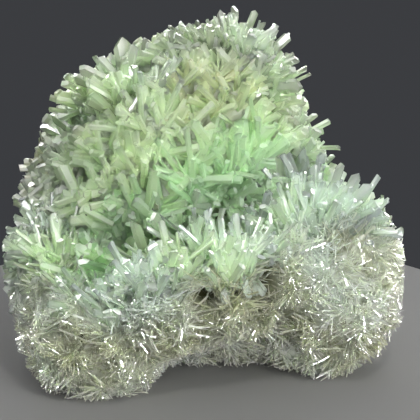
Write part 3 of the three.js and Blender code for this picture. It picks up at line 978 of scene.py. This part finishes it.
# Large single crystals of the show side, as in the solid: the tip's place across and up the show
# plane, the lean to the right and towards the viewer in degrees, the length and the width.
SINGLES = np.array(
    [
        [4.4, 56.3, 6, 10, 3.6, 1.5],  # peak
        [7.6, 55.0, 22, 5, 3.6, 1.2],
        [8.9, 53.0, 34, 20, 3.4, 1.1],
        [10.8, 52.0, 40, 10, 3.8, 1.2],
        [12.9, 50.8, 48, 0, 4.2, 1.6],
        [14.3, 47.1, 66, 5, 4.2, 1.6],
        [13.8, 45.3, 74, 15, 4.0, 1.6],
        [14.7, 42.6, 92, 25, 5.4, 2.2],
        [15.6, 40.5, 60, 0, 3.4, 1.2],
        [17.4, 38.5, 52, 0, 3.4, 1.2],
        [19.0, 35.2, 50, 5, 3.2, 1.2],
        [20.4, 32.0, 46, 10, 3.2, 1.2],
        [1.9, 54.8, -6, 10, 3.2, 1.2],
        [-2.0, 53.3, -14, 10, 3.4, 1.3],
        [-5.9, 51.7, -10, 10, 3.4, 1.4],
        [-9.6, 50.4, 8, 10, 3.8, 1.8],  # left shoulder
        [-13.9, 50.4, -10, 5, 4.6, 3.0],
        [-17.2, 47.3, -42, 5, 4.0, 1.5],
        [-20.3, 45.4, -64, 15, 5.4, 2.2],
        [-21.4, 44.0, -70, 30, 4.8, 2.1],
        [-21.6, 41.0, -62, 10, 4.0, 1.8],
        [-25.2, 38.2, -52, 5, 4.0, 1.7],  # left flank
        [-26.9, 36.6, -64, 0, 3.8, 1.7],
        [-27.2, 33.4, -68, 15, 3.8, 1.7],
        [-28.4, 30.4, -72, 5, 3.6, 1.6],
        [-29.2, 27.2, -72, 10, 3.8, 1.7],
        [-30.4, 24.9, -76, 0, 4.0, 1.6],
        [-31.0, 20.8, -84, 5, 3.8, 1.7],
        [-32.3, 15.8, -92, 5, 4.4, 1.9],
        [9.4, 29.4, -42, 25, 6.0, 1.6],  # right lobe's fan
        [12.2, 32.4, -22, 25, 6.4, 1.7],
        [14.8, 33.0, -10, 20, 6.4, 1.8],
        [18.0, 32.2, 6, 20, 6.2, 1.7],
        [21.0, 30.4, 18, 15, 5.8, 1.7],
        [23.6, 28.8, 28, 15, 5.4, 1.7],
        [25.4, 27.2, 38, 10, 5.0, 1.6],
        [27.2, 23.4, 48, 10, 4.2, 1.4],
        [31.0, 20.0, 58, 5, 3.6, 1.4],
        [-1.6, 25.0, -10, 25, 7.4, 1.5],  # front ridge, fanned from its middle
        [2.0, 25.6, 0, 20, 7.8, 1.6],
        [5.6, 26.2, 8, 25, 7.4, 1.6],
        [9.6, 26.2, 14, 20, 7.2, 1.6],
        [-5.0, 23.6, -20, 30, 7.4, 1.8],
        [-8.6, 22.4, -26, 35, 7.2, 1.9],
        [-11.6, 21.6, -18, 30, 7.0, 2.0],
        [-14.4, 20.4, -12, 40, 6.4, 2.6],
        [-20.0, 15.0, -74, 45, 6.0, 1.8],  # left lobe's low blades
        [-19.6, 18.0, -50, 50, 6.2, 2.0],
    ]
)
BURIED = 2.0
SINGLE_ROLL = math.radians(45)
FLATNESS = (0.35, 0.6)
OFF_MIDDLE = 0.5
STEEPNESS = (0.4, 1.3)


def upright_turn(growth):
    """The turn that carries +Z to growth the short way, as 3 by 3 matrices."""
    z = np.array([0.0, 0, 1])
    out = np.empty((len(growth), 3, 3))
    for i, g in enumerate(growth):
        out[i] = np.array(Vector(z).rotation_difference(Vector(g)).to_matrix())
    return out


def singles():
    """The single crystals, with the solid's own shapes and turns."""
    across, up, lean, forward, length, width = SINGLES.T
    lean, forward = np.radians(lean), np.radians(forward)
    growth = (
        np.cos(lean)[:, None] * show_up + np.sin(lean)[:, None] * show_across
    ) * np.cos(forward)[:, None] + np.sin(forward)[:, None] * viewer
    foot = show_point(across - length * (growth @ show_across), up - length * (growth @ show_up))
    number = np.arange(len(SINGLES))
    roll = SINGLE_ROLL * (2 * chance(number, 4) - 1)
    turn = upright_turn(growth)
    side = turn @ np.stack([np.cos(roll), np.sin(roll), 0 * roll], 1)[:, :, None]
    half = width / 2
    return {
        "root": foot - growth * BURIED,
        "growth": growth,
        "side": side[:, :, 0],
        "half": half,
        "thick": half * between(*FLATNESS, chance(number, 1)),
        "length": length + BURIED,
        "ridge": OFF_MIDDLE * (2 * chance(number, 2) - 1),
        "steep": between(*STEEPNESS, chance(number, 3)),
        "foot": np.ones(len(number)),
        "tint": chance(number, 11),
        "place": foot,
    }


CANDIDATES = 30000
FAN_ROOM = 4.6  # sprays keep this far from the heads of the fans
FINE_CUT = 0.3  # how much smaller and closer blades are in the zone of painted grey shade, where they are fine
BLADE_EDGE, EDGE_STRAY = 0.5, 0.25
SPRAY_SPACING = 4.2
SPRAY = {
    "count": 18,
    "lean": (0.4, 1.1),
    "spread": math.radians(52),
    "most": (0.3, 2.2),
    "reach": (4.5, 8.5),
    "width": (1.0, 2.1),
    "flatness": (0.3, 0.5),
    "deep": 1.8,
    "steep": (0, 0.45),
    "laid": 0.7,
}
ROSETTE_SPACING, ROSETTE_BLADE_SPACING = 7.5, 1.5
ROSETTE_SCALE = (0.85, 1.2)
ROSETTE = {
    "radius": 4.0,
    "count": 4,
    "lean": (0.5, 1.25),
    "stray": 0.35,
    "most": (-0.8, 0.1),
    "reach": (3.0, 5.0),
    "width": (0.8, 1.6),
    "flatness": (0.3, 0.5),
    "deep": 1.9,
    "steep": (0, 0.45),
    "laid": 0.4,
}


def make_blades(candidates, normal, share, blade, clear):
    """Blades in sprays, small ones in rosettes between them, fans, and the single crystals."""
    fine = 1 - FINE_CUT * nearness(candidates, spots["grey_shade"])
    ground = np.flatnonzero(share < BLADE_EDGE + EDGE_STRAY * (rng.random(len(share)) - 0.5))
    heads = np.array([row[:2] for row in (*FACE_FANS.values(), *FANS.values())])
    heads = at_pixel(*heads.T)
    beside = ((candidates[:, None] - heads[None]) ** 2).sum(2).min(1) < FAN_ROOM**2
    free = ground[~beside[ground]]
    picked = free[apart(candidates[free], SPRAY_SPACING * fine[free])]
    sprays = sheaves(candidates[picked], normal[picked], **SPRAY)
    crystals_piece("blades", sprays, SIX_FACES, SIX, blade)
    middles = candidates[ground[apart(candidates[ground], ROSETTE_SPACING)]]
    picked = ground[apart(candidates[ground], ROSETTE_BLADE_SPACING * fine[ground])]
    scale = between(*ROSETTE_SCALE, rng.random(len(picked))) * fine[picked]
    low = rosettes(candidates[picked], normal[picked], middles, scale, **ROSETTE)
    crystals_piece("small_blades", low, SIX_FACES, SIX, blade)
    face = fans(FACE_FANS, forward=(-10, 35), most=(0.8, 3.2))
    crystals_piece("face_blades", face, SIX_FACES, SIX, blade)
    crystals_piece("single_blades", singles(), SIX_FACES, SIX, clear)
    edge = fans(FANS, forward=(-15, 50), most=(1.5, 5.0))
    crystals_piece("fan_blades", edge, SIX_FACES, SIX, clear)


MURK_THIN = 0.6  # the share of needle sheaves left out where olive shade is painted on the mats
MAT_SHARE, MAT_SPACING = 0.3, 1.2
MAT = {
    "lean": (0.2, 1.3),
    "spread": math.radians(55),
    "most": (-0.5, 0.6),
    "reach": (1.8, 3.8),
    "width": (0.09, 0.18),
    "flatness": (0.6, 1.0),
    "deep": 0.8,
    "steep": (0.3, 2.0),
}
FRONT_COUNT, BACK_COUNT = 44, 36
LONG_SHARE, LONG_SPACING = (0.02, 0.4), 1.3
LONG = {
    "count": 14,
    "lean": (0.4, 1.4),
    "spread": math.radians(42),
    "most": (0.2, 1.5),
    "reach": (2.4, 5.5),
    "width": (0.12, 0.28),
    "flatness": (0.5, 1.0),
    "deep": 0.5,
    "steep": (0, 1.0),
}


def make_needles(candidates, normal, share, needle, glass):
    """Fine needles in sheaves, and long clear needles across them and in the front's sprays."""
    murk = nearness(candidates, spots["olive_shade"])
    mats = np.flatnonzero(share > MAT_SHARE)
    picked = mats[apart(candidates[mats], MAT_SPACING)]
    picked = picked[MURK_THIN * murk[picked] < rng.random(len(picked))]
    front = candidates[picked, 1] < 0
    sides = {
        "needles_front": (picked[front], FRONT_COUNT),
        "needles_back": (picked[~front], BACK_COUNT),
    }
    for name, (own, count) in sides.items():
        needles = sheaves(candidates[own], normal[own], count, **MAT)
        crystals_piece(name, needles, POINT_FACES, THREE, needle)
    edge = np.flatnonzero(share > between(*LONG_SHARE, rng.random(len(share))))
    picked = edge[apart(candidates[edge], LONG_SPACING)]
    picked = picked[MURK_THIN * murk[picked] < rng.random(len(picked))]
    across = sheaves(candidates[picked], normal[picked], **LONG)
    crystals_piece("long_needles", across, THREE_FACES, THREE, glass)
    sprays = fans(SPRAYS, forward=(-10, 60), most=(1.0, 3.0))
    crystals_piece("spray_needles", sprays, THREE_FACES, THREE, glass)


def make_crystals(blade, clear, needle, glass):
    candidates = places(CANDIDATES)
    share = needle_share(candidates)
    normal = outward(candidates)
    candidates = candidates - normal * hollow(candidates)[:, None]
    make_blades(candidates, normal, share, blade, clear)
    make_needles(candidates, normal, share, needle, glass)


# ---- The stage ----


LIGHT_AIM = 25  # mm above the floor
WHITE, WARM = (1, 1, 1), (1.0, 0.98, 0.95)
# The lamps: azimuth to the right of the front and elevation in degrees, distance and size in mm,
# power in watts, colour.
LAMPS = {
    "front": (24, 10, 600, 800, 0.8, WHITE),
    "low": (38, 2, 500, 300, 0.58, WHITE),
    "ceiling": (30, 75, 500, 600, 0.1, WHITE),
    "left": (-75, 30, 600, 450, 0.03, WHITE),
    "right": (60, 20, 600, 450, 0.8, WHITE),
    "behind": (180, 30, 600, 450, 0.25, WHITE),
    "key": (25, 60, 330, 40, 0.12, WARM),
}
# Small lamps for glints, in a spiral round the object.
SPARKS = 80
SPARK_TURN = 137.5
SPARK_LOW, SPARK_HIGH = 8, 78
SPARK_LAMP = (330, 34, 0.28, WHITE)


def area_light(name, azimuth, elevation, distance, size, power, colour):
    data = bpy.data.lights.new(name, "AREA")
    data.shape = "DISK"
    data.size = size * MM
    data.energy = power
    data.color = colour
    obj = bpy.data.objects.new(name, data)
    bpy.context.scene.collection.objects.link(obj)
    a, e = math.radians(azimuth), math.radians(elevation)
    way = Vector((math.sin(a) * math.cos(e), -math.cos(a) * math.cos(e), math.sin(e)))
    obj.location = Vector((0, 0, LIGHT_AIM * MM)) + way * distance * MM
    obj.rotation_euler = (-way).to_track_quat("-Z", "Y").to_euler()
    obj.visible_camera = False
    return obj


def make_lights():
    """A dim room, the lamps, and how far light is followed."""
    scene = bpy.context.scene
    world = bpy.data.worlds.new("studio")
    scene.world = world
    world.use_nodes = True
    background = world.node_tree.nodes["Background"]
    background.inputs["Color"].default_value = (0.045, 0.047, 0.052, 1)
    background.inputs["Strength"].default_value = 1.0
    for name, lamp in LAMPS.items():
        area_light(name, *lamp)
    for k in range(SPARKS):
        rise = between(SPARK_LOW, SPARK_HIGH, k / SPARKS)
        lamp = area_light("spark_%d" % k, k * SPARK_TURN % 360, rise, *SPARK_LAMP)
        lamp.visible_diffuse = False
    scene.cycles.max_bounces = 14
    scene.cycles.diffuse_bounces = 6
    scene.cycles.glossy_bounces = 4
    scene.cycles.transmission_bounces = 12


FLOOR_RADIUS = 55


def make_floor():
    bpy.ops.mesh.primitive_circle_add(vertices=128, radius=FLOOR_RADIUS * MM, fill_type="NGON")
    floor = bpy.context.object
    floor.name = "floor"
    material = bpy.data.materials.new("floor")
    material.use_nodes = True
    shader = material.node_tree.nodes["Principled BSDF"]
    shader.inputs["Base Color"].default_value = (0.42, 0.42, 0.41, 1)
    shader.inputs["Roughness"].default_value = 0.9
    shader.inputs["Specular IOR Level"].default_value = 0.1
    floor.data.materials.append(material)


LENS, SENSOR = 250, 36
CLIP_START = 10
CAMERA_BACK = 9  # mm beyond where the photograph's frame fills the picture


def make_camera():
    """A camera at the photograph's viewing angle, with its frame on the photograph's."""
    scene = bpy.context.scene
    camera = bpy.data.cameras.new("camera")
    camera.lens = LENS
    camera.sensor_width = SENSOR
    camera.clip_start = CLIP_START * MM
    obj = bpy.data.objects.new("camera", camera)
    scene.collection.objects.link(obj)
    across, up = (FRAME / 2 - ACROSS_0) * SCALE, (UP_0 - FRAME / 2) * SCALE
    centre = across * show_across + up * show_up
    distance = FRAME * SCALE * LENS / SENSOR + CAMERA_BACK
    obj.location = Vector((centre + viewer * distance) * MM)
    obj.rotation_euler = Vector(-viewer).to_track_quat("-Z", "Y").to_euler()
    scene.camera = obj
    scene.view_settings.view_transform = "Standard"


# ---- The scene ----

blade = gypsum(
    "milky_blades", transmission=0.08, rough=(0.25, 0.45), bump=0.2,
    subsurface=0.85, radius=4.0, glare=0.2, dark=0.75, cells=60,
)
clear = gypsum(
    "clear_blades", transmission=0.42, rough=(0.10, 0.25), bump=0.3, subsurface=1.0,
    radius=3.5, coat=0.25, glare=0.35, absorb=GREEN_GLASS, dark=0.68, cells=30,
)
needle = gypsum(
    "needles", transmission=0.12, rough=(0.08, 0.2), bump=0.1,
    subsurface=0.8, radius=0.4, coat=0.8, spread=(0.66, 1.06),
)
glass = gypsum(
    "long_needles", transmission=0.25, rough=(0.05, 0.15), bump=0.1,
    subsurface=0.8, radius=0.3, coat=1.0, absorb=WHITE_GLASS, spread=(0.86, 1.03),
)
# The mass's under colour is painted shade, near black, in its crevices and hollows.
mass = gypsum(
    "mass", transmission=0.0, rough=(0.35, 0.6), bump=0.5,
    subsurface=1.0, radius=1.0, dark=0.85, under=(0.10, 0.10, 0.035),
)
make_mass(mass)
make_crystals(blade, clear, needle, glass)
make_floor()
make_lights()
make_camera()
